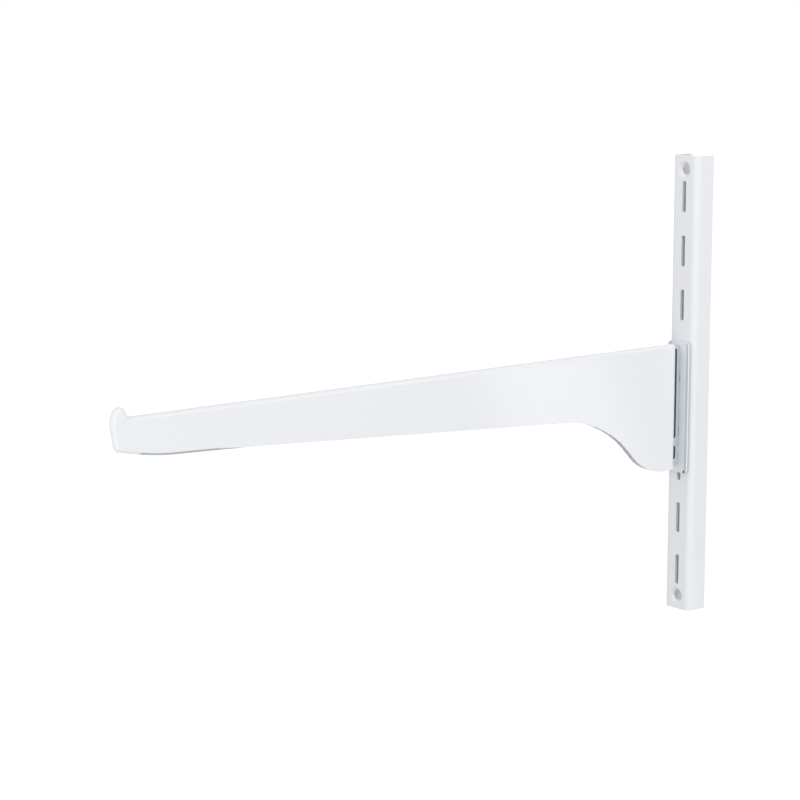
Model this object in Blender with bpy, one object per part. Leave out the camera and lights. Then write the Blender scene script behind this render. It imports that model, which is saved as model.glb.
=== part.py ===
"""A shelf bracket of folded steel, hooked into a slotted steel upright.

The arm points to -X, the wall lies at +X, +Z is up and Y = 0 is the plane of symmetry.
The origin lies on the arm's top edge, where the shelf rests.
"""

import math

import bmesh
import bpy
from mathutils import Vector

MM = 0.001

# Places shared by the pieces
SEAT_TO_UPRIGHT = 150.0 * MM  # from the origin on the shelf seat to the upright's front face
SEAT_TO_SLOT = 7.65 * MM  # from the shelf seat down to the middle of the slot for the upper hook
TOUCH_GAP = 0.3 * MM  # left between pieces that touch
CUT_MARGIN = 3.0 * MM  # by which a cutter runs past what it cuts
TINY = 0.01 * MM
ARC_STEP = math.radians(6.0)

# Slotted upright, a roll-formed channel that is open at the back
UPRIGHT_WIDTH = 16.0 * MM
UPRIGHT_DEPTH = 11.0 * MM
UPRIGHT_SHEET = 1.4 * MM
UPRIGHT_CORNER_RADIUS = 2.8 * MM
SLOT_PITCH = 25.4 * MM
SLOT_LENGTH = 14.4 * MM
SLOT_WIDTH = 3.5 * MM
SLOT_CORNER_RADIUS = 0.9 * MM
SLOTS_ABOVE_HOOK = 3
SLOTS_BELOW_HOOK = 4
UPRIGHT_END_MARGIN = 6.35 * MM  # from a screw hole to the upright's end
SCREW_HOLE_DIAMETER = 4.8 * MM
SCREW_SINK_DIAMETER = 7.4 * MM

# Arm, one sheet folded over its top, its nose and the front of its underside
ARM_REACH = 314.4 * MM  # from the upright's front face to the corner that the nose's round replaces
ARM_REAR_GAP = 5.8 * MM  # from the upright's front face to the arm's rear edge
ARM_THICKNESS = 3.8 * MM
ARM_SHEET = 0.9 * MM
ARM_FOLD_RADIUS = 1.4 * MM  # outer radius of the fold
ARM_MIN_INNER_RADIUS = 0.2 * MM
ARM_FOLD_SEGMENTS = 4
HEEL_DEPTH = 59.8 * MM
HEEL_DISTANCE = 23.0 * MM  # from the upright's face to the corner that the heel's round replaces
HEEL_RADIUS = 28.0 * MM
THROAT_DEPTH = 30.85 * MM
THROAT_DISTANCE = 50.4 * MM
THROAT_RADIUS = 60.0 * MM
NECK_DEPTH = 19.0 * MM  # where the taper ends and the underside levels out
NECK_SETBACK = 69.4 * MM  # back from the nose, as the two setbacks that follow
BELLY_DEPTH = 18.6 * MM
BELLY_SETBACK = 52.4 * MM  # the underside is closed in front of this
BELLY_RADIUS = 60.0 * MM
CHIN_DEPTH = 17.35 * MM
CHIN_SETBACK = 20.8 * MM
CHIN_RADIUS = 40.0 * MM
NOSE_DEPTH = 13.45 * MM
NOSE_RAKE = 2.0 * MM  # by which the nose's lower corner lies further back than its front
NOSE_RADIUS = 1.8 * MM
NOSE_FRONT_DEPTH = 1.5 * MM  # of the nose's foremost point, below the shelf seat
NOSE_FRONT_RADIUS = 10.0 * MM

# Nub that stops the shelf at the arm's front end
NUB_HEIGHT = 4.2 * MM
NUB_LEAN = 2.0 * MM  # by which its front leans back from the nose
NUB_LENGTH = 4.0 * MM  # along its top
NUB_SLOPE = 2.3 * MM  # by which its foot reaches further back than its top
NUB_FOOT_RADIUS = 0.8 * MM
NUB_BACK_RADIUS = 1.6 * MM
NUB_FRONT_RADIUS = 3.6 * MM

# Back plate, which spreads the load over the upright's face
PLATE_WIDTH = 14.0 * MM
PLATE_THICKNESS = 1.75 * MM
PLATE_RISE = 0.75 * MM  # above the shelf seat
PLATE_OVERHANG = 2.05 * MM  # below the arm's lower edge
PLATE_CORNER_RADIUS = 2.5 * MM
PLATE_EDGE_RADIUS = 0.35 * MM
PLATE_EDGE_SEGMENTS = 2
NOTCH_OFFSET = 4.7 * MM  # from the plane of symmetry
NOTCH_WIDTH = 1.6 * MM
NOTCH_HEIGHT = 1.6 * MM
NOTCH_CORNER_RADIUS = 0.7 * MM

# Hook blade, held between the arm's two walls
BLADE_THICKNESS = 1.3 * MM
BLADE_LENGTH = 21.0 * MM  # forward of the back plate
BLADE_BOTTOM_MARGIN = 1.8 * MM  # above the arm's lower edge
BLADE_CHAMFER = 8.0 * MM
BLADE_CORNER_RADIUS = 2.0 * MM
HOOK_ROOT_HEIGHT = 9.0 * MM
HOOK_DROP = 4.0 * MM
HOOK_NOSE = 2.8 * MM  # length behind the upright's sheet
HOOK_BACK_RADIUS = 2.4 * MM
HOOK_TIP_RADIUS = 0.8 * MM
RELIEF_FRONT = 5.7 * MM  # the relief slots' front and rear, forward of the back plate
RELIEF_REAR = 1.7 * MM
RELIEF_RADIUS = 1.0 * MM
UPPER_RELIEF_TOP = 5.1 * MM  # below the shelf seat
UPPER_RELIEF_BOTTOM = 14.9 * MM  # above the arm's lower edge, as the two heights that follow
LOWER_RELIEF_TOP = 11.0 * MM
LOWER_RELIEF_BOTTOM = 4.8 * MM

# Places worked out from the sizes
FACE_X = SEAT_TO_UPRIGHT
PLATE_REAR_X = FACE_X - TOUCH_GAP
PLATE_FRONT_X = PLATE_REAR_X - PLATE_THICKNESS
BLADE_REAR_X = PLATE_FRONT_X - TOUCH_GAP
ARM_REAR_X = FACE_X - ARM_REAR_GAP
ARM_NOSE_X = FACE_X - ARM_REACH
PLATE_BOTTOM = -HEEL_DEPTH - PLATE_OVERHANG
HOLLOW_WIDTH = ARM_THICKNESS - 2 * ARM_SHEET
WHITE_ENAMEL = (0.86, 0.87, 0.90)


def clear_scene():
    for old in list(bpy.data.objects):
        bpy.data.objects.remove(old)


def new_collection(name):
    collection = bpy.data.collections.new(name)
    bpy.context.scene.collection.children.link(collection)
    return collection


def enamel(name, roughness):
    material = bpy.data.materials.new(name)
    material.use_nodes = True
    shader = material.node_tree.nodes["Principled BSDF"]
    shader.inputs["Base Color"].default_value = (*WHITE_ENAMEL, 1.0)
    shader.inputs["Roughness"].default_value = roughness
    shader.inputs["Metallic"].default_value = 0.0
    return material


def slot_depth(index):
    """Height of a slot's middle; slot 0 takes the upper hook, slot 1 the lower one."""
    return -SEAT_TO_SLOT - index * SLOT_PITCH


def fillet(before, corner, after, radius):
    """Points of the arc that rounds one corner of an outline."""
    to_before = (before - corner).normalized()
    to_after = (after - corner).normalized()
    half_angle = to_before.angle(to_after) / 2
    if radius <= 0 or half_angle > math.pi / 2 - 1e-4:
        return [corner]
    reach = radius / math.tan(half_angle)
    centre = corner + (to_before + to_after).normalized() * (radius / math.sin(half_angle))
    start = corner + to_before * reach - centre
    end = corner + to_after * reach - centre
    turn = start.angle_signed(end)
    steps = max(1, math.ceil(abs(turn) / ARC_STEP))
    points = []
    for i in range(steps + 1):
        angle = -turn * i / steps
        cosine, sine = math.cos(angle), math.sin(angle)
        points.append(centre + Vector((cosine * start.x - sine * start.y, sine * start.x + cosine * start.y)))
    return points


def rounded(corners):
    """An outline from corners that are each (x, y, radius)."""
    places = [Vector(corner[:2]) for corner in corners]
    outline = []
    for i, corner in enumerate(corners):
        outline += fillet(places[i - 1], places[i], places[(i + 1) % len(places)], corner[2])
    return outline


def rounded_box(left, right, bottom, top, radius):
    sides = ((left, bottom), (right, bottom), (right, top), (left, top))
    return rounded([(x, y, radius) for x, y in sides])


def inset_chain(corners, distance):
    """The corners between a chain's two ends, moved by distance to the left of the way that it runs."""
    places = [Vector(corner[:2]) for corner in corners]
    moved = []
    for i in range(1, len(places) - 1):
        back = (places[i] - places[i - 1]).normalized()
        ahead = (places[i + 1] - places[i]).normalized()
        side = Vector((-back.y, back.x))
        next_side = Vector((-ahead.y, ahead.x))
        shift = (side + next_side) * (distance / (1 + side.dot(next_side)))
        turns_left = back.cross(ahead) > 0
        radius = max(corners[i][2] - distance, 0) if turns_left else corners[i][2] + distance
        place = places[i] + shift
        moved.append((place.x, place.y, radius))
    return moved


def flat_solid(name, outlines, thickness, rotation, location, collection):
    """A flat piece of that thickness, from closed 2D outlines."""
    curve = bpy.data.curves.new(name, "CURVE")
    curve.dimensions = "2D"
    curve.fill_mode = "BOTH"
    curve.extrude = thickness / 2
    for outline in outlines:
        spline = curve.splines.new("POLY")
        spline.points.add(len(outline) - 1)
        for point, place in zip(spline.points, outline):
            point.co = (place.x, place.y, 0, 1)
        spline.use_cyclic_u = True
    drawn = bpy.data.objects.new(name + "_outline", curve)
    collection.objects.link(drawn)
    bpy.context.view_layer.update()
    evaluated = drawn.evaluated_get(bpy.context.evaluated_depsgraph_get())
    mesh = bpy.data.meshes.new_from_object(evaluated)
    bpy.data.objects.remove(drawn)
    shape = bmesh.new()
    shape.from_mesh(mesh)
    bmesh.ops.remove_doubles(shape, verts=shape.verts, dist=TINY / 10)
    caps = [edge for edge in shape.edges if edge.calc_face_angle(1.0) < 0.001]
    bmesh.ops.dissolve_edges(shape, edges=caps, use_verts=False)
    shape.to_mesh(mesh)
    shape.free()
    mesh.name = name
    solid = bpy.data.objects.new(name, mesh)
    solid.rotation_euler = rotation
    solid.location = location
    collection.objects.link(solid)
    return solid


def round_rim(solid, radius, segments, in_rim):
    """Rounds the edges of a flat piece's two sides, where in_rim(x, y) holds at an edge's middle."""
    shape = bmesh.new()
    shape.from_mesh(solid.data)
    rim = []
    for edge in shape.edges:
        middle = (edge.verts[0].co + edge.verts[1].co) / 2
        along_side = abs(edge.verts[0].co.z - edge.verts[1].co.z) < TINY
        if along_side and in_rim(middle.x, middle.y):
            rim.append(edge)
    bmesh.ops.bevel(
        shape, geom=rim, offset=radius, segments=segments, affect="EDGES", profile=0.5, material=-1
    )
    shape.to_mesh(solid.data)
    shape.free()


def cut(solid, cutter):
    cutter.hide_render = True
    cutter.display_type = "WIRE"
    boolean = solid.modifiers.new("cut_" + cutter.name, "BOOLEAN")
    boolean.operation = "DIFFERENCE"
    boolean.object = cutter


def finish(solid, material):
    solid.data.materials.clear()
    solid.data.materials.append(material)
    solid.data.shade_smooth()
    solid.data.set_sharp_from_angle(angle=math.radians(35))


# How a flat piece's own x, y and z lie in the world
UPRIGHT_ON_EDGE = (math.pi / 2, 0, 0)  # x along X, y along Z, thickness along Y
FACING_THE_ARM = (math.pi / 2, 0, math.pi / 2)  # x along Y, y along Z, thickness along X


def arm_top_chain():
    """Corners of the folded edge, from the rear of the shelf seat over the nub and the nose to the belly."""
    nub_front_x = ARM_NOSE_X + NUB_LEAN
    nub_back_x = nub_front_x + NUB_LENGTH
    return [
        (ARM_REAR_X, 0, 0),
        (nub_back_x + NUB_SLOPE, 0, NUB_FOOT_RADIUS),
        (nub_back_x, NUB_HEIGHT, NUB_BACK_RADIUS),
        (nub_front_x, NUB_HEIGHT, NUB_FRONT_RADIUS),
        (ARM_NOSE_X, -NOSE_FRONT_DEPTH, NOSE_FRONT_RADIUS),
        (ARM_NOSE_X + NOSE_RAKE, -NOSE_DEPTH, NOSE_RADIUS),
        (ARM_NOSE_X + CHIN_SETBACK, -CHIN_DEPTH, CHIN_RADIUS),
        (ARM_NOSE_X + BELLY_SETBACK, -BELLY_DEPTH, BELLY_RADIUS),
    ]


def make_arm(parts, cutters):
    """Two sheet walls joined by the fold, hollow between them and open at the rear and underneath."""
    underside = [
        (ARM_NOSE_X + NECK_SETBACK, -NECK_DEPTH, BELLY_RADIUS),
        (FACE_X - THROAT_DISTANCE, -THROAT_DEPTH, THROAT_RADIUS),
        (FACE_X - HEEL_DISTANCE, -HEEL_DEPTH, HEEL_RADIUS),
        (ARM_REAR_X, -HEEL_DEPTH, 0),
    ]
    outline = rounded(arm_top_chain() + underside)
    arm = flat_solid("arm", [outline], ARM_THICKNESS, UPRIGHT_ON_EDGE, (0, 0, 0), parts)
    belly_x = ARM_NOSE_X + BELLY_SETBACK

    def on_the_fold(x, y):
        return y > -TINY or x < belly_x

    round_rim(arm, ARM_FOLD_RADIUS, ARM_FOLD_SEGMENTS, on_the_fold)
    inner = inset_chain(arm_top_chain(), ARM_SHEET)
    rear_x = ARM_REAR_X + CUT_MARGIN
    chin_x, chin_y = inner[-1][:2]
    slope = (CHIN_DEPTH - BELLY_DEPTH) / (BELLY_SETBACK - CHIN_SETBACK)
    mouth_y = chin_y + slope * (belly_x - chin_x)
    below = -HEEL_DEPTH - CUT_MARGIN
    mouth = [(belly_x, mouth_y, 0), (belly_x, below, 0), (rear_x, below, 0)]
    hollow_outline = rounded([(rear_x, -ARM_SHEET, 0)] + inner + mouth)
    hollow = flat_solid("arm_hollow", [hollow_outline], HOLLOW_WIDTH, UPRIGHT_ON_EDGE, (0, 0, 0), cutters)
    inner_radius = max(ARM_FOLD_RADIUS - ARM_SHEET, ARM_MIN_INNER_RADIUS)

    def under_the_fold(x, y):
        return on_the_fold(x, y + ARM_SHEET)

    round_rim(hollow, inner_radius, ARM_FOLD_SEGMENTS, under_the_fold)
    cut(arm, hollow)
    finish(arm, enamel("arm_enamel", 0.28))
    return arm


def hook_heights(index):
    """Height of a hook's drop end, its root's underside and its root's top."""
    root_bottom = slot_depth(index) - SLOT_LENGTH / 2 + TOUCH_GAP
    return root_bottom - HOOK_DROP, root_bottom, root_bottom + HOOK_ROOT_HEIGHT


def make_back_plate(parts, cutters):
    """A flat plate with rounded corners, pierced for the hooks and notched at its lower edge."""
    half = PLATE_WIDTH / 2
    outline = rounded_box(-half, half, PLATE_BOTTOM, PLATE_RISE, PLATE_CORNER_RADIUS)
    middle = (PLATE_FRONT_X + PLATE_REAR_X) / 2
    plate = flat_solid("back_plate", [outline], PLATE_THICKNESS, FACING_THE_ARM, (middle, 0, 0), parts)
    round_rim(plate, PLATE_EDGE_RADIUS, PLATE_EDGE_SEGMENTS, lambda x, y: True)
    holes = []
    half_slot = BLADE_THICKNESS / 2 + TOUCH_GAP
    for index in (0, 1):
        drop_end, _, root_top = hook_heights(index)
        holes.append(rounded_box(-half_slot, half_slot, drop_end - TOUCH_GAP, root_top + TOUCH_GAP, 0))
    for side in (-1, 1):
        left = side * NOTCH_OFFSET - NOTCH_WIDTH / 2
        right = left + NOTCH_WIDTH
        top = PLATE_BOTTOM + NOTCH_HEIGHT
        low = PLATE_BOTTOM - CUT_MARGIN
        holes.append(rounded_box(left, right, low, top, NOTCH_CORNER_RADIUS))
    depth = PLATE_THICKNESS + 2 * CUT_MARGIN
    cutter = flat_solid("back_plate_holes", holes, depth, FACING_THE_ARM, (middle, 0, 0), cutters)
    cut(plate, cutter)
    finish(plate, enamel("back_plate_enamel", 0.3))
    return plate


def make_hook_blade(parts, cutters):
    """A flat blade whose two hooks pass through the back plate and drop behind the upright's sheet."""
    top = -ARM_SHEET - TOUCH_GAP
    bottom = -HEEL_DEPTH + BLADE_BOTTOM_MARGIN
    front_x = BLADE_REAR_X - BLADE_LENGTH
    nose_front_x = FACE_X + UPRIGHT_SHEET + TOUCH_GAP
    nose_rear_x = nose_front_x + HOOK_NOSE
    corners = [(front_x, top, BLADE_CORNER_RADIUS), (BLADE_REAR_X, top, 0)]
    for index in (0, 1):
        drop_end, root_bottom, root_top = hook_heights(index)
        corners += [
            (BLADE_REAR_X, root_top, 0),
            (nose_rear_x, root_top, HOOK_BACK_RADIUS),
            (nose_rear_x, drop_end, HOOK_TIP_RADIUS),
            (nose_front_x, drop_end, HOOK_TIP_RADIUS),
            (nose_front_x, root_bottom, 0),
            (BLADE_REAR_X, root_bottom, 0),
        ]
    corners += [
        (BLADE_REAR_X, bottom, 0),
        (front_x + BLADE_CHAMFER, bottom, BLADE_CORNER_RADIUS),
        (front_x, bottom + BLADE_CHAMFER, BLADE_CORNER_RADIUS),
    ]
    outline = rounded(corners)
    blade = flat_solid("hook_blade", [outline], BLADE_THICKNESS, UPRIGHT_ON_EDGE, (0, 0, 0), parts)
    left = PLATE_FRONT_X - RELIEF_FRONT
    right = PLATE_FRONT_X - RELIEF_REAR
    upper_bottom = UPPER_RELIEF_BOTTOM - HEEL_DEPTH
    lower_top = LOWER_RELIEF_TOP - HEEL_DEPTH
    lower_bottom = LOWER_RELIEF_BOTTOM - HEEL_DEPTH
    reliefs = [
        rounded_box(left, right, upper_bottom, -UPPER_RELIEF_TOP, RELIEF_RADIUS),
        rounded_box(left, right, lower_bottom, lower_top, RELIEF_RADIUS),
    ]
    depth = BLADE_THICKNESS + 2 * CUT_MARGIN
    cutter = flat_solid("hook_blade_reliefs", reliefs, depth, UPRIGHT_ON_EDGE, (0, 0, 0), cutters)
    cut(blade, cutter)
    finish(blade, enamel("hook_blade_enamel", 0.3))
    return blade


def channel_outline():
    """The channel's section, from one rear edge round the front to the other."""
    half = UPRIGHT_WIDTH / 2
    inner_half = half - UPRIGHT_SHEET
    inner_radius = max(UPRIGHT_CORNER_RADIUS - UPRIGHT_SHEET, 0)
    rear = UPRIGHT_DEPTH
    return rounded(
        [
            (rear, -half, 0),
            (rear, -inner_half, 0),
            (UPRIGHT_SHEET, -inner_half, inner_radius),
            (UPRIGHT_SHEET, inner_half, inner_radius),
            (rear, inner_half, 0),
            (rear, half, 0),
            (0, half, UPRIGHT_CORNER_RADIUS),
            (0, -half, UPRIGHT_CORNER_RADIUS),
        ]
    )


def screw_sink(name, height, cutters):
    """A countersunk screw hole's cutter, through the upright's face at that height."""
    shape = bmesh.new()
    slope = (SCREW_SINK_DIAMETER - SCREW_HOLE_DIAMETER) / 2 / UPRIGHT_SHEET
    length = 2 * CUT_MARGIN
    wide = SCREW_HOLE_DIAMETER / 2 + slope * (UPRIGHT_SHEET + CUT_MARGIN)
    narrow = SCREW_HOLE_DIAMETER / 2
    bmesh.ops.create_cone(
        shape, cap_ends=True, segments=32, radius1=narrow, radius2=wide, depth=UPRIGHT_SHEET + CUT_MARGIN
    )
    bmesh.ops.translate(shape, verts=shape.verts, vec=(0, 0, (CUT_MARGIN - UPRIGHT_SHEET) / 2))
    base = [face for face in shape.faces if face.normal.z < -0.9]
    extruded = bmesh.ops.extrude_face_region(shape, geom=base)
    moved = [item for item in extruded["geom"] if isinstance(item, bmesh.types.BMVert)]
    bmesh.ops.translate(shape, verts=moved, vec=(0, 0, -length))
    bmesh.ops.delete(shape, geom=base, context="FACES_ONLY")
    bmesh.ops.recalc_face_normals(shape, faces=shape.faces)
    mesh = bpy.data.meshes.new(name)
    shape.to_mesh(mesh)
    shape.free()
    cutter = bpy.data.objects.new(name, mesh)
    cutter.rotation_euler = (0, -math.pi / 2, 0)
    cutter.location = (FACE_X, 0, height)
    cutters.objects.link(cutter)
    return cutter


def make_upright(parts, cutters):
    """A channel with a row of slots down its face and a screw hole near each end."""
    upper_hole = slot_depth(-SLOTS_ABOVE_HOOK) + SLOT_PITCH / 2
    lower_hole = slot_depth(SLOTS_BELOW_HOOK) - SLOT_PITCH / 2
    top = upper_hole + UPRIGHT_END_MARGIN
    bottom = lower_hole - UPRIGHT_END_MARGIN
    middle = (FACE_X, 0, (top + bottom) / 2)
    upright = flat_solid("upright", [channel_outline()], top - bottom, (0, 0, 0), middle, parts)
    half = SLOT_WIDTH / 2
    slots = []
    for index in range(-SLOTS_ABOVE_HOOK, SLOTS_BELOW_HOOK + 1):
        low = slot_depth(index) - SLOT_LENGTH / 2
        slots.append(rounded_box(-half, half, low, low + SLOT_LENGTH, SLOT_CORNER_RADIUS))
    depth = UPRIGHT_SHEET + 2 * CUT_MARGIN
    centre = (FACE_X + UPRIGHT_SHEET / 2, 0, 0)
    cut(upright, flat_solid("upright_slots", slots, depth, FACING_THE_ARM, centre, cutters))
    cut(upright, screw_sink("upper_screw_hole", upper_hole, cutters))
    cut(upright, screw_sink("lower_screw_hole", lower_hole, cutters))
    finish(upright, enamel("upright_enamel", 0.3))
    return upright


clear_scene()
bracket_parts = new_collection("slotted_shelf_bracket")
bracket_cutters = new_collection("cutters")
make_arm(bracket_parts, bracket_cutters)
make_back_plate(bracket_parts, bracket_cutters)
make_hook_blade(bracket_parts, bracket_cutters)
make_upright(bracket_parts, bracket_cutters)
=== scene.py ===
"""The look of a slotted shelf bracket: a folded arm in white baked enamel, hooked into its wall upright."""

import math

import bmesh
import bpy
from mathutils import Matrix, Vector


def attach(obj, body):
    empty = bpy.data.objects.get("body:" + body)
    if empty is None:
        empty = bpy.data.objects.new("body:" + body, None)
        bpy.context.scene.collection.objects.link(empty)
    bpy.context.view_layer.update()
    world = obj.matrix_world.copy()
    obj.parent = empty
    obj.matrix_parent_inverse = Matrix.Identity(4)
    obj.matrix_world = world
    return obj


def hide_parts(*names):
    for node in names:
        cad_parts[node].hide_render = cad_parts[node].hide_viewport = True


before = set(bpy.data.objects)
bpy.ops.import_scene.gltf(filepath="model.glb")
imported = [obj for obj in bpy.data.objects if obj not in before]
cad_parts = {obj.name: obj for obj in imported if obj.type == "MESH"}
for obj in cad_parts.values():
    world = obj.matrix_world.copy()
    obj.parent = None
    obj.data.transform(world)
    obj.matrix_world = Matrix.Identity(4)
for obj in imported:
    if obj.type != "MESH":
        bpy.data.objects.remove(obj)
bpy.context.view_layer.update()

# Arm: one blank of steel sheet, pressed to its outline and folded over along its top, its nub, its nose
# and the front of its underside, so that two flat walls stand a blade's width apart.
# It is spray-painted with glossy enamel and baked. The faces under the nose that look down carry painted
# shade.
MM = 0.001
TINY = 0.01 * MM  # lengths that differ by less than this count as the same
ALONG = Vector((1, 0, 0))
ACROSS = Vector((0, 1, 0))
UP = Vector((0, 0, 1))
ARM_THICKNESS = 3.8 * MM
ARM_SHEET = 0.9 * MM
ARM_EDGE_RADIUS = 0.12 * MM
FOLD_RADIUS = 1.7 * MM
FOLD_DEPTH = 2.0 * MM  # the fold along the top lies above this depth
FOLD_END_X, FOLD_END_Z = -103.0, -18.81  # in millimetres; the underside is open behind this point
FOLD_END_RADIUS = 0.4 * MM
FOLD_END_REACH = 0.2 * MM  # points this near to the fold's end belong to it
UNDERSIDE_Z = -15.0 * MM  # what lies lower at the fold's end belongs to the underside
ARM_CORNERS = (  # X, Z and radius in millimetres, from the rear of the shelf seat towards the nub
    (144.2, 0.0, 0.0),
    (-156.1, 0.0, 0.8),
    (-158.4, 4.2, 2.4),
    (-162.4, 4.2, 3.6),
    (-164.4, -1.5, 10.0),
    (-162.4, -13.45, 2.6),
    (-143.6, -17.35, 110.0),
    (-116.0, -18.44, 0.0),
    (FOLD_END_X, FOLD_END_Z, 0.0),
    (-102.6, -18.82, 0.0),
    (-95.0, -19.0, 60.0),
    (99.6, -30.85, 60.0),
    (127.0, -59.8, 28.0),
    (144.2, -59.8, 0.0),
)
STRAIGHT_CORNER = math.radians(89.5)  # half a corner's angle, past which it needs no round
ARC_STEP = math.radians(7)
RIM_NORMAL_Y = 0.01  # a face of the blank's rim is square to the walls, so its normal has less than this
SHARP_ANGLE = math.radians(40)  # edges that turn by more than this are cut edges


def round_corner(shape, vert, radius):
    """Bevels one corner of an outline so that the arc is as deep as a true round of that radius."""
    before, after = [edge.other_vert(vert).co - vert.co for edge in vert.link_edges]
    half = before.angle(after) / 2
    if radius == 0 or half > STRAIGHT_CORNER:
        return
    depth = radius * (1 / math.sin(half) - 1)
    turn = math.pi - 2 * half
    bmesh.ops.bevel(
        shape,
        geom=[vert],
        offset=depth / ((2 - math.sqrt(2)) * math.cos(half)),
        segments=max(3, math.ceil(turn / ARC_STEP)),
        profile=0.5,
        affect="VERTICES",
        clamp_overlap=False,
        material=-1,
    )


def flat_blank(shape, corners, u_way, v_way, start, thickness):
    """Draws an outline with rounded corners in the plane of two directions, and gives it its thickness."""
    verts = [shape.verts.new((u * u_way + v * v_way) * MM + start) for u, v, _ in corners]
    shape.faces.new(verts)
    for vert, corner in zip(verts, corners):
        round_corner(shape, vert, corner[2] * MM)
    outlines = [face for face in shape.faces if len(face.verts) >= len(corners)]
    newest = max(outlines, key=lambda face: face.index)  # the shape may hold an earlier blank
    extruded = bmesh.ops.extrude_face_region(shape, geom=[newest], use_keep_orig=True)
    moved = [item for item in extruded["geom"] if isinstance(item, bmesh.types.BMVert)]
    bmesh.ops.translate(shape, verts=moved, vec=thickness)
    bmesh.ops.recalc_face_normals(shape, faces=shape.faces)


def new_piece(name, shape):
    """Turns a shape into a smooth-shaded object of that name."""
    mesh = bpy.data.meshes.new(name)
    shape.to_mesh(mesh)
    shape.free()
    mesh.shade_smooth()
    piece = bpy.data.objects.new(name, mesh)
    bpy.context.scene.collection.objects.link(piece)
    return piece


def soften_edges(piece, radius):
    """The enamel rounds off each cut edge of the sheet, and the flat faces stay flat to the eye."""
    bevel = piece.modifiers.new("enamelled_edges", "BEVEL")
    bevel.width = radius
    bevel.segments = 2
    bevel.limit_method = "ANGLE"
    bevel.angle_limit = SHARP_ANGLE
    normals = piece.modifiers.new("flat_faces", "WEIGHTED_NORMAL")
    normals.keep_sharp = True


arm_shape = bmesh.new()
half_arm = ACROSS * (ARM_THICKNESS / 2)
flat_blank(arm_shape, ARM_CORNERS, ALONG, UP, -half_arm, 2 * half_arm)
fold_edges = []
for edge in arm_shape.edges:
    first, second = [vert.co for vert in edge.verts]
    middle = (first + second) / 2
    in_a_wall = abs(first.y - second.y) < TINY
    if in_a_wall and (middle.z > -TINY or middle.x < FOLD_END_X * MM):
        fold_edges.append(edge)
bmesh.ops.bevel(
    arm_shape,
    geom=fold_edges,
    offset=FOLD_RADIUS,
    segments=8,
    profile=0.5,
    affect="EDGES",
    material=-1,
)
for vert in arm_shape.verts:  # the fold under the nose runs out to a nearly sharp corner
    at_fold_end = abs(vert.co.x - FOLD_END_X * MM) < FOLD_END_REACH
    if at_fold_end and vert.co.z < UNDERSIDE_Z:
        side = ACROSS * math.copysign(ARM_THICKNESS / 2, vert.co.y)
        corner = Vector((vert.co.x, side.y, FOLD_END_Z * MM))
        inward = UP - side.normalized()
        away = (vert.co - corner - inward * FOLD_RADIUS) / FOLD_RADIUS
        vert.co = corner + (inward + away) * FOLD_END_RADIUS
open_faces = []
for face in arm_shape.faces:
    middle = face.calc_center_median()
    in_rim = abs(face.normal.y) < RIM_NORMAL_Y
    if in_rim and middle.x > FOLD_END_X * MM and middle.z < -FOLD_DEPTH:
        open_faces.append(face)
bmesh.ops.delete(arm_shape, geom=open_faces, context="FACES")
arm = new_piece("arm_sheet", arm_shape)
sheet = arm.modifiers.new("sheet", "SOLIDIFY")
sheet.thickness = ARM_SHEET
sheet.offset = -1
sheet.use_even_offset = True
soften_edges(arm, ARM_EDGE_RADIUS)

FULL_WHITE = "#ECEEF2"
PEEL_SPACING = 2.6 * MM
PEEL_DEPTH = 0.006 * MM
MIST_SPACING = 7.0 * MM
UPRIGHT_TOP = 87.6 * MM  # here already, because the painted shade depends on the upright's ends
UPRIGHT_BOTTOM = -128.3 * MM
SHADE_FREE_REACH = 8.95 * MM  # how far in from each end of the upright the painted shade is gone
SHADE_FADE_LENGTH = 3.0 * MM  # and over what length the painted shade then comes in
SHADE_FRONT_X = -150.0 * MM  # the painted shade under the nose starts here
FACING_DOWN = -0.45  # a face whose normal points up by less than this looks down


def linear(colour):
    """An sRGB colour such as "#ECEEF2" as the linear red, green, blue and alpha that a shader takes."""
    channels = [int(colour[i : i + 2], 16) / 255 for i in (1, 3, 5)]
    return [c / 12.92 if c <= 0.04045 else ((c + 0.055) / 1.055) ** 2.4 for c in channels] + [1.0]


def node(tree, kind, settings=None, links=None):
    """Adds a shader node. A key that names or numbers an input sets or links it; any other is a setting."""
    added = tree.nodes.new(kind)
    for key, value in (settings or {}).items():
        if isinstance(key, int) or key in added.inputs:
            added.inputs[key].default_value = value
        else:
            setattr(added, key, value)
    for key, source in (links or {}).items():
        tree.links.new(source, added.inputs[key])
    return added


def baked_enamel(name, colour):
    """Baked enamel: an opaque, glossy coat whose fine orange peel breaks up what it mirrors."""
    material = bpy.data.materials.new(name)
    material.use_nodes = True
    tree = material.node_tree
    place = node(tree, "ShaderNodeTexCoord")
    peel = node(
        tree,
        "ShaderNodeTexNoise",
        {"Scale": 1 / PEEL_SPACING, "Detail": 2.0},
        {"Vector": place.outputs["Object"]},
    )
    bump = node(
        tree,
        "ShaderNodeBump",
        {"Strength": 1.0, "Distance": PEEL_DEPTH},
        {"Height": peel.outputs["Fac"]},
    )
    shader = tree.nodes["Principled BSDF"]
    shader.inputs["Base Color"].default_value = linear(colour)
    shader.inputs["Roughness"].default_value = 0.09
    shader.inputs["IOR"].default_value = 1.5
    tree.links.new(bump.outputs["Normal"], shader.inputs["Normal"])
    return material


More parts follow.
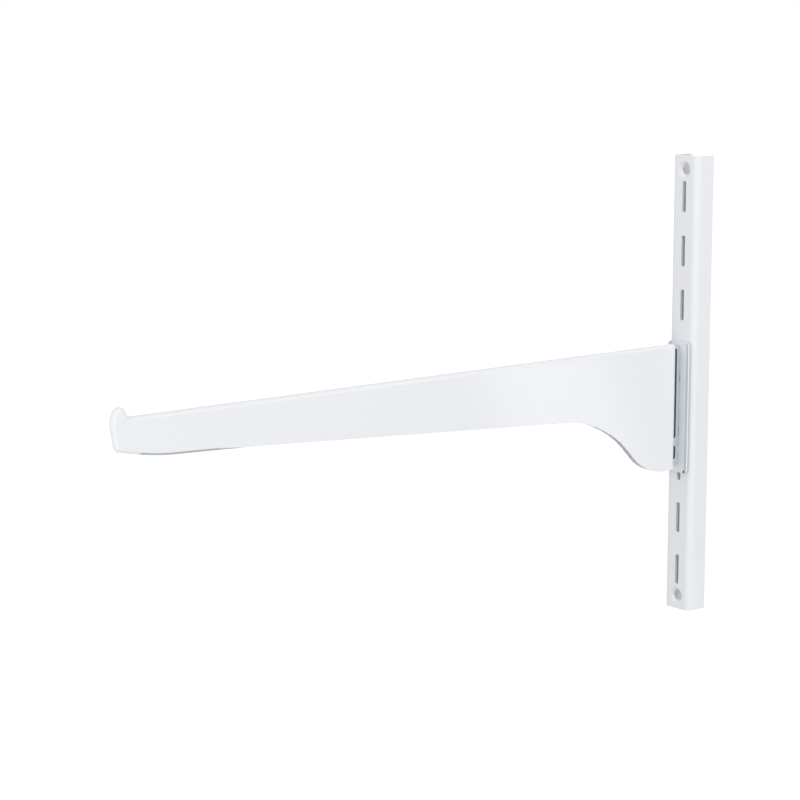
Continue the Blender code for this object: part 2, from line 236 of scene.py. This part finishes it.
def matt_painted_shade(name, dark, pale):
    """Painted shade: a dull, cloudy grey for surfaces that little light reaches.

    The painted shade fades to the full white near both ends of the upright.
    """
    material = bpy.data.materials.new(name)
    material.use_nodes = True
    tree = material.node_tree
    place = node(tree, "ShaderNodeTexCoord")
    mist = node(
        tree,
        "ShaderNodeTexNoise",
        {"Scale": 1 / MIST_SPACING, "Detail": 3.0},
        {"Vector": place.outputs["Object"]},
    )
    shade = node(tree, "ShaderNodeValToRGB", links={"Fac": mist.outputs["Fac"]})
    shade.color_ramp.elements[0].color = linear(dark)
    shade.color_ramp.elements[1].color = linear(pale)
    upright_middle = (UPRIGHT_TOP + UPRIGHT_BOTTOM) / 2
    upright_half = (UPRIGHT_TOP - UPRIGHT_BOTTOM) / 2
    height = node(tree, "ShaderNodeSeparateXYZ", links={"Vector": place.outputs["Object"]})
    raised = node(
        tree,
        "ShaderNodeMath",
        {"operation": "ADD", 1: -upright_middle},
        {0: height.outputs["Z"]},
    )
    from_middle = node(tree, "ShaderNodeMath", {"operation": "ABSOLUTE"}, {0: raised.outputs[0]})
    shade_lifted = node(
        tree,
        "ShaderNodeMapRange",
        {
            "From Min": upright_half - SHADE_FREE_REACH - SHADE_FADE_LENGTH,
            "From Max": upright_half - SHADE_FREE_REACH,
        },
        {"Value": from_middle.outputs[0]},
    )
    shade_or_white = node(
        tree,
        "ShaderNodeMix",
        {"data_type": "RGBA", 7: linear(FULL_WHITE)},
        {"Factor": shade_lifted.outputs["Result"], 6: shade.outputs["Color"]},
    )
    shader = tree.nodes["Principled BSDF"]
    shader.inputs["Roughness"].default_value = 0.6
    tree.links.new(shade_or_white.outputs[2], shader.inputs["Base Color"])
    return material


def coat(piece, material, picked=lambda face: True):
    """Gives a finish to a piece, or to those of its faces that a test picks."""
    piece.data.materials.append(material)
    for face in piece.data.polygons:
        if picked(face):
            face.material_index = len(piece.data.materials) - 1


# The outside: a cool, even white that mirrors the light softly
white_enamel = baked_enamel("white_baked_enamel", FULL_WHITE)
# Painted shade under the nose and inside the channel, where little light reaches: matt and cloudy, a grey
# shade and not steel
soft_shade = matt_painted_shade("pale_shaded_coat", "#9AA3A8", "#D2DADE")
coat(arm, white_enamel)
# Painted shade on the faces under the nose that look down
coat(
    arm,
    soft_shade,
    lambda face: SHADE_FRONT_X < face.center.x < FOLD_END_X * MM and face.normal.z < FACING_DOWN,
)
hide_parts("arm")
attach(arm, "root")

# Back plate: a thin steel plate with rounded corners that bears on the upright's face. Its margins are
# bent forward, with a notch at the lower end of each bend, and two slots let the hooks through. It is
# enamelled with the arm. Its margins carry painted shade, bluer and darker, and the notches' walls a darker
# painted shade.
PLATE_FRONT_X = 148.8 * MM
PLATE_THICKNESS = 0.9 * MM
PLATE_RIM_RADIUS = 0.2 * MM
PLATE_EDGE_RADIUS = 0.08 * MM
PLATE_CORNERS = (  # Y, Z and radius in millimetres
    (-7.0, -61.85, 2.5),
    (7.0, -61.85, 2.5),
    (7.0, 0.75, 2.5),
    (-7.0, 0.75, 2.5),
)
PLATE_PUNCHES = (  # the same for two hook slots and two notches
    ((-0.75, -18.65, 0), (0.75, -18.65, 0), (0.75, -5.45, 0), (-0.75, -5.45, 0)),
    ((-0.75, -44.05, 0), (0.75, -44.05, 0), (0.75, -30.85, 0), (-0.75, -30.85, 0)),
    ((-5.5, -64.0, 0), (-3.9, -64.0, 0), (-3.9, -60.25, 0.7), (-5.5, -60.25, 0.7)),
    ((3.9, -64.0, 0), (5.5, -64.0, 0), (5.5, -60.25, 0.7), (3.9, -60.25, 0.7)),
)
PUNCH_LEAD = 1.0 * MM  # a punch starts this far in front of the sheet
PUNCH_LENGTH = 4.0 * MM
MARGIN_Y = 4.6 * MM
MARGIN_LEAN = math.radians(20)
NOTCH_Y = (3.8 * MM, 5.6 * MM)  # the notches' walls lie between these, on either side
NOTCH_Z = (-61.7 * MM, -60.0 * MM)
FACING_FRONT = 0.85  # a face whose normal lies along X by more than this is the sheet's front or rear


def cut(piece, cutter):
    """Punches the cutter out of a piece and throws the cutter away."""
    punch = piece.modifiers.new("punch", "BOOLEAN")
    punch.operation = "DIFFERENCE"
    punch.solver = "EXACT"
    punch.object = cutter
    bpy.context.view_layer.update()
    evaluated = piece.evaluated_get(bpy.context.evaluated_depsgraph_get())
    punched = bpy.data.meshes.new_from_object(evaluated)
    piece.modifiers.clear()
    piece.data = punched
    bpy.data.objects.remove(cutter)


plate_shape = bmesh.new()
plate_front = ALONG * PLATE_FRONT_X
flat_blank(plate_shape, PLATE_CORNERS, ACROSS, UP, plate_front, ALONG * PLATE_THICKNESS)
plate_rim = []
for edge in plate_shape.edges:
    first, second = [vert.co for vert in edge.verts]
    if abs(first.x - second.x) < TINY:
        plate_rim.append(edge)
bmesh.ops.bevel(
    plate_shape,
    geom=plate_rim,
    offset=PLATE_RIM_RADIUS,
    segments=3,
    profile=0.5,
    affect="EDGES",
    material=-1,
)
plate = new_piece("back_plate_sheet", plate_shape)
for corners in PLATE_PUNCHES:
    punch_shape = bmesh.new()
    start = plate_front - ALONG * PUNCH_LEAD
    flat_blank(punch_shape, corners, ACROSS, UP, start, ALONG * PUNCH_LENGTH)
    cut(plate, new_piece("plate_punch", punch_shape))
bent_shape = bmesh.new()
bent_shape.from_mesh(plate.data)
for bend_y in (-MARGIN_Y, MARGIN_Y):
    everything = bent_shape.verts[:] + bent_shape.edges[:] + bent_shape.faces[:]
    bmesh.ops.bisect_plane(
        bent_shape,
        geom=everything,
        dist=TINY / 10,
        plane_co=ACROSS * bend_y,
        plane_no=ACROSS,
    )
for vert in bent_shape.verts:
    vert.co.x -= max(abs(vert.co.y) - MARGIN_Y, 0) * math.tan(MARGIN_LEAN)
bent_shape.to_mesh(plate.data)
bent_shape.free()
soften_edges(plate, PLATE_EDGE_RADIUS)
coat(plate, white_enamel)
# Painted shade on the walls of small cuts: matt and dark, so that the cuts read as deep
deep_shade = matt_painted_shade("dark_shaded_coat", "#4C5055", "#6E7478")
# Darker painted shade on the notches' walls
coat(
    plate,
    deep_shade,
    lambda face: NOTCH_Y[0] < abs(face.center.y) < NOTCH_Y[1] and NOTCH_Z[0] < face.center.z < NOTCH_Z[1],
)
# Painted shade where the arm shades the enamel: as glossy, but bluer and darker than the outside
enamel_in_shade = baked_enamel("enamel_painted_shade", "#CAD4DC")
# Painted shade on the plate's bent margins, front and back
coat(
    plate,
    enamel_in_shade,
    lambda face: abs(face.normal.x) > FACING_FRONT and abs(face.center.y) > MARGIN_Y,
)
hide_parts("back_plate")
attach(plate, "root")

# Hook blade: stamped from thicker steel and held between the arm's walls, with two hooks that pass
# through the plate and drop behind the upright's face. Two relief slots run down behind the arm's rear
# edge. Its enamel carries painted shade, bluer and darker, for the gap behind the arm, and a darker painted
# shade on the slots' walls.
BLADE_THICKNESS = 1.3 * MM
BLADE_EDGE_RADIUS = 0.12 * MM
BLADE_CORNERS = (  # X, Z and radius in millimetres
    (126.65, -1.2, 2.0),
    (148.75, -1.2, 0.0),
    (148.75, -5.55, 0.0),
    (154.5, -5.55, 2.4),
    (154.5, -18.55, 0.8),
    (151.7, -18.55, 0.8),
    (151.7, -14.55, 0.0),
    (148.75, -14.55, 0.0),
    (148.75, -30.95, 0.0),
    (154.5, -30.95, 2.4),
    (154.5, -43.95, 0.8),
    (151.7, -43.95, 0.8),
    (151.7, -39.95, 0.0),
    (148.75, -39.95, 0.0),
    (148.75, -58.0, 0.0),
    (134.65, -58.0, 2.0),
    (126.65, -50.0, 2.0),
)
RELIEF_FRONT, RELIEF_REAR = 142.25, 146.85  # X in millimetres
RELIEFS = ((-44.9, -2.4), (-55.0, -48.8))  # lowest and highest Z in millimetres
RELIEF_RADIUS = 1.0  # in millimetres
RELIEF_WALLS_X = (142.2 * MM, 147.0 * MM)  # the relief slots' walls lie between these
FACING_SIDE = 0.5  # a face whose normal lies across by more than this is the blade's side
blade_shape = bmesh.new()
half_blade = ACROSS * (BLADE_THICKNESS / 2)
flat_blank(blade_shape, BLADE_CORNERS, ALONG, UP, -half_blade, 2 * half_blade)
blade = new_piece("hook_blade_plate", blade_shape)
relief_shape = bmesh.new()
for low, high in RELIEFS:
    relief_corners = (
        (RELIEF_FRONT, low, RELIEF_RADIUS),
        (RELIEF_REAR, low, RELIEF_RADIUS),
        (RELIEF_REAR, high, RELIEF_RADIUS),
        (RELIEF_FRONT, high, RELIEF_RADIUS),
    )
    flat_blank(relief_shape, relief_corners, ALONG, UP, -2 * half_blade, 4 * half_blade)
cut(blade, new_piece("relief_slots", relief_shape))
soften_edges(blade, BLADE_EDGE_RADIUS)
# Painted shade over the whole blade
coat(blade, enamel_in_shade)
# Darker painted shade on the relief slots' walls
coat(
    blade,
    deep_shade,
    lambda face: RELIEF_WALLS_X[0] < face.center.x < RELIEF_WALLS_X[1] and abs(face.normal.y) < FACING_SIDE,
)
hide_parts("hook_blade")
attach(blade, "root")

# Upright: a channel roll-formed from steel strip, open at the back, with a row of slots punched down its
# face and a countersunk screw hole near each end. Enamelled; the inside of the channel carries painted
# shade.
FACE_X, REAR_X, HALF_WIDTH = 150.0, 161.0, 8.0  # in millimetres, as is all down to the channel's corners
UPRIGHT_SHEET = 1.4
OUTER_BEND = 2.8
INNER_BEND = OUTER_BEND - UPRIGHT_SHEET
INNER_X = FACE_X + UPRIGHT_SHEET
INNER_Y = HALF_WIDTH - UPRIGHT_SHEET
CHANNEL_CORNERS = (  # X, Y and radius
    (REAR_X, -HALF_WIDTH, 0.0),
    (REAR_X, -INNER_Y, 0.0),
    (INNER_X, -INNER_Y, INNER_BEND),
    (INNER_X, INNER_Y, INNER_BEND),
    (REAR_X, INNER_Y, 0.0),
    (REAR_X, HALF_WIDTH, 0.0),
    (FACE_X, HALF_WIDTH, OUTER_BEND),
    (FACE_X, -HALF_WIDTH, OUTER_BEND),
)
UPRIGHT_EDGE_RADIUS = 0.15 * MM
SLOT_CORNERS = (  # Y, height over the slot's middle and radius, in millimetres
    (-1.15, -7.2, 0.5),
    (1.15, -7.2, 0.5),
    (1.15, 7.2, 0.5),
    (-1.15, 7.2, 0.5),
)
SLOT_PITCH = 25.4 * MM
HOOKED_SLOT_Z = -7.65 * MM  # the middle of the slot that the upper hook hangs in
SLOT_HEIGHTS = [HOOKED_SLOT_Z + SLOT_PITCH * step for step in range(3, -5, -1)]
SCREW_HEIGHTS = (81.25 * MM, -121.95 * MM)
SCREW_HOLE_RADIUS = 2.4 * MM
DRILL_RADIUS = 4.63 * MM  # of the countersink's cone where it starts, 1 mm in front of the face
DRILL_LENGTH = 2.4 * MM
DRILL_MIDDLE_X = FACE_X * MM + 0.2 * MM  # so that the cone ends at the back of the sheet
DRILL_SHANK = 3.0 * MM  # its straight end, behind the cone
INSIDE_SLACK = 0.02 * MM
SQUARE_ON = 0.9  # a face whose normal has more than this along an axis counts as square to it
channel_shape = bmesh.new()
upright_length = UPRIGHT_TOP - UPRIGHT_BOTTOM
flat_blank(channel_shape, CHANNEL_CORNERS, ALONG, ACROSS, UP * UPRIGHT_BOTTOM, UP * upright_length)
upright = new_piece("upright_channel", channel_shape)
for height in SLOT_HEIGHTS:
    punch_shape = bmesh.new()
    start = ALONG * (FACE_X * MM - PUNCH_LEAD) + UP * height
    flat_blank(punch_shape, SLOT_CORNERS, ACROSS, UP, start, ALONG * PUNCH_LENGTH)
    cut(upright, new_piece("slot_punch", punch_shape))
for height in SCREW_HEIGHTS:
    drill_shape = bmesh.new()
    bmesh.ops.create_cone(
        drill_shape,
        cap_ends=True,
        segments=48,
        radius1=DRILL_RADIUS,
        radius2=SCREW_HOLE_RADIUS,
        depth=DRILL_LENGTH,
    )
    quarter_turn = Matrix.Rotation(math.pi / 2, 3, "Y")
    bmesh.ops.rotate(drill_shape, verts=drill_shape.verts, matrix=quarter_turn)
    bmesh.ops.translate(drill_shape, verts=drill_shape.verts, vec=ALONG * DRILL_MIDDLE_X + UP * height)
    tip = [face for face in drill_shape.faces if face.normal.x > SQUARE_ON]
    drawn = bmesh.ops.extrude_face_region(drill_shape, geom=tip)
    moved = [item for item in drawn["geom"] if isinstance(item, bmesh.types.BMVert)]
    bmesh.ops.delete(drill_shape, geom=tip, context="FACES_ONLY")
    bmesh.ops.translate(drill_shape, verts=moved, vec=ALONG * DRILL_SHANK)
    bmesh.ops.recalc_face_normals(drill_shape, faces=drill_shape.faces)
    cut(upright, new_piece("screw_drill", drill_shape))


def inside_channel(face):
    """Whether a face of the upright lies inside it, where it carries painted shade."""
    behind_sheet = face.center.x > INNER_X * MM - INSIDE_SLACK
    between_sides = abs(face.center.y) < INNER_Y * MM + INSIDE_SLACK
    return behind_sheet and between_sides and abs(face.normal.z) < SQUARE_ON


soften_edges(upright, UPRIGHT_EDGE_RADIUS)
coat(upright, white_enamel)
# Painted shade on the faces inside the channel
coat(upright, soft_shade, inside_channel)
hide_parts("upright")
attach(upright, "root")

# Floor and surroundings: a white paper sweep far below the bracket, which keeps its shadow, in a white
# room. Both look white, but they light the bracket softly from its near side and dimly from the other.
FLOOR_Z = -450.0 * MM
FLOOR_REACH = 12.0  # metres each way
WHITE = "#FFFFFF"
PAPER_GREY = "#8A8A8A"  # the part of the paper's white that a shadow takes away
PAPER_GLOW = 0.86  # the part that stays
NEAR_SIDE = (-0.68, -0.61, 0.40)  # the way that the soft light comes from
SOFT_TURN = 0.3  # bright where the cosine to that way is above this, and dim below minus this
DIM, BRIGHT = 0.14, 1.06
floor_shape = bmesh.new()
bmesh.ops.create_grid(floor_shape, x_segments=1, y_segments=1, size=FLOOR_REACH)
bmesh.ops.translate(floor_shape, verts=floor_shape.verts, vec=UP * FLOOR_Z)
floor = new_piece("floor", floor_shape)


def seen_white(tree, light, white):
    """Mixes two shaders, so that the eye, gloss and glass meet the white one and light meets the other."""
    path = node(tree, "ShaderNodeLightPath")
    seen = path.outputs["Is Camera Ray"]
    for kind in ("Is Glossy Ray", "Is Transmission Ray"):
        either = node(tree, "ShaderNodeMath", {"operation": "MAXIMUM"}, {0: seen, 1: path.outputs[kind]})
        seen = either.outputs[0]
    mix = node(tree, "ShaderNodeMixShader", links={0: seen, 1: light, 2: white})
    return mix.outputs[0]


def soft_strength(tree, way):
    """How brightly the surroundings shine from a given way."""
    facing = node(tree, "ShaderNodeVectorMath", {"operation": "DOT_PRODUCT", 1: NEAR_SIDE}, {0: way})
    strength = node(
        tree,
        "ShaderNodeMapRange",
        {
            "interpolation_type": "SMOOTHSTEP",
            "From Min": -SOFT_TURN,
            "From Max": SOFT_TURN,
            "To Min": DIM,
            "To Max": BRIGHT,
        },
        {"Value": facing.outputs["Value"]},
    )
    return strength.outputs["Result"]


# Matt white paper: a ground without an edge, on which only the bracket's faint shadow shows
paper = bpy.data.materials.new("white_paper_sweep")
paper.use_nodes = True
paper_tree = paper.node_tree
paper_tree.nodes.clear()
place = node(paper_tree, "ShaderNodeTexCoord")
way = node(paper_tree, "ShaderNodeVectorMath", {"operation": "NORMALIZE"}, {0: place.outputs["Object"]})
soft_paper = node(
    paper_tree,
    "ShaderNodeEmission",
    {"Color": linear(WHITE)},
    {"Strength": soft_strength(paper_tree, way.outputs["Vector"])},
)
shaded = node(paper_tree, "ShaderNodeBsdfDiffuse", {"Color": linear(PAPER_GREY)})
glow = node(paper_tree, "ShaderNodeEmission", {"Color": linear(WHITE), "Strength": PAPER_GLOW})
white_paper = node(paper_tree, "ShaderNodeAddShader", links={0: shaded.outputs[0], 1: glow.outputs[0]})
paper_look = seen_white(paper_tree, soft_paper.outputs[0], white_paper.outputs[0])
node(paper_tree, "ShaderNodeOutputMaterial", links={"Surface": paper_look})
floor.data.materials.append(paper)

world = bpy.data.worlds.new("white_studio")
bpy.context.scene.world = world
world.use_nodes = True
world_tree = world.node_tree
world_tree.nodes.clear()
way = node(world_tree, "ShaderNodeTexCoord")
soft_room = node(
    world_tree,
    "ShaderNodeBackground",
    {"Color": linear(WHITE)},
    {"Strength": soft_strength(world_tree, way.outputs["Generated"])},
)
white_room = node(world_tree, "ShaderNodeBackground", {"Color": linear(WHITE), "Strength": 1.0})
room_look = seen_white(world_tree, soft_room.outputs[0], white_room.outputs[0])
node(world_tree, "ShaderNodeOutputWorld", links={"Surface": room_look})


# Lamps: a wide, soft key from the near side, and a narrow panel that the enamel mirrors near the heel.
# Places and sizes are in metres.
def soft_lamp(name, place, target, width, height, watts, lean=0.0):
    """A rectangular lamp that faces its target and leans round the line to it."""
    lamp = bpy.data.lights.new(name, "AREA")
    lamp.shape = "RECTANGLE"
    lamp.size = width
    lamp.size_y = height
    lamp.energy = watts
    lamp_object = bpy.data.objects.new(name, lamp)
    lamp_object.location = place
    aim = (Vector(target) - Vector(place)).to_track_quat("-Z", "Y")
    lamp_object.rotation_euler = (aim.to_matrix() @ Matrix.Rotation(lean, 3, "Z")).to_euler()
    bpy.context.scene.collection.objects.link(lamp_object)


soft_lamp("near_key", place=(0.6, -1.8, 0.5), target=(0, 0, 0), width=1.6, height=1.2, watts=4.0)
soft_lamp(
    "mirrored_panel",
    place=(0.880, -0.9, -0.22),
    target=(0.075, 0, -0.02),
    width=0.109,
    height=1.2,
    watts=0.55,
    lean=math.radians(19),
)

# Camera: at the photograph's viewpoint, a little over a metre from the upright, on the arm's near side
# and above it, with a long lens.
CAMERA_PLACE = (-0.6760, -0.8234, 0.1791)  # in metres
LOOKS_DOWN = math.radians(10.1)
HEADING = math.radians(51.4)  # turned by this from the arm's direction
camera_data = bpy.data.cameras.new("camera")
camera_data.lens = 112.5
camera_data.sensor_width = 36.0
camera = bpy.data.objects.new("camera", camera_data)
camera.location = CAMERA_PLACE
camera.rotation_euler = (math.pi / 2 - LOOKS_DOWN, 0, HEADING - math.pi / 2)
bpy.context.scene.collection.objects.link(camera)
bpy.context.scene.camera = camera
bpy.context.scene.view_settings.view_transform = "Standard"

bpy.context.view_layer.update()
